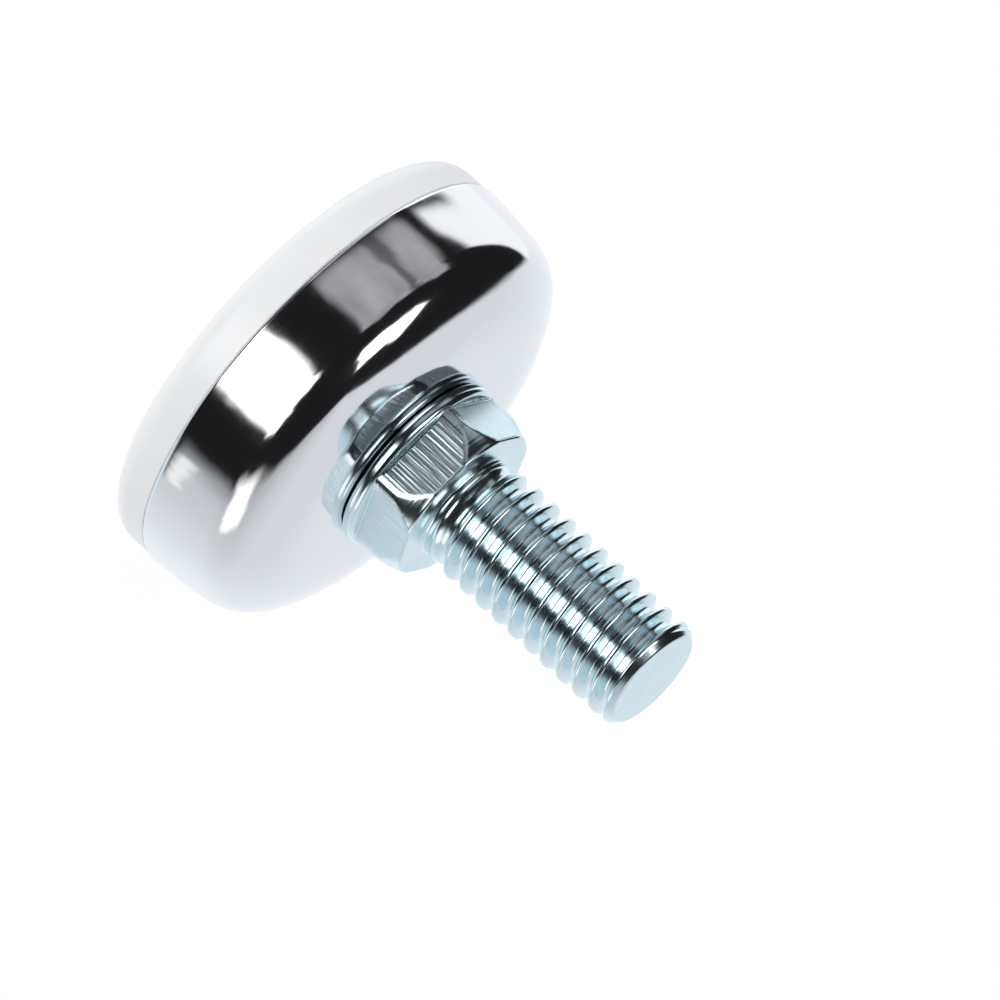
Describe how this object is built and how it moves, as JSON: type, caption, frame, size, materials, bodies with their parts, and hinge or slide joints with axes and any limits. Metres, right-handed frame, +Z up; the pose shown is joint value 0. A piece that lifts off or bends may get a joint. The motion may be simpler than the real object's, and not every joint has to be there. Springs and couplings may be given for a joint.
{
  "type": "ice machine leg",
  "caption": "Short levelling leg for an ice machine: a chromed cup on a white plastic base, with a zinc-plated threaded stud and its hexagon rising from the middle.",
  "frame": {"origin": "middle of the base's underside", "axes": "+Z up along the stud, with one flat of the stud's hexagon facing -Y"},
  "size_m": [0.031, 0.031, 0.0325],
  "materials": {
    "chrome": "bright mirror plate",
    "white_plastic": "moulded off-white, semi-gloss",
    "zinc_plate": "zinc plate with a bluish clear passivate"
  },
  "bodies": {
    "foot": {"foot_cup": "chrome", "base_pad": "white_plastic"},
    "stud": {"levelling_stud": "zinc_plate"}
  },
  "joints": [
    {"name": "stud_turn", "type": "hinge", "parent": "foot", "child": "stud", "pos_m": [0, 0, 0], "axis": [0, 0, 1], "continuous": true}
  ]
}
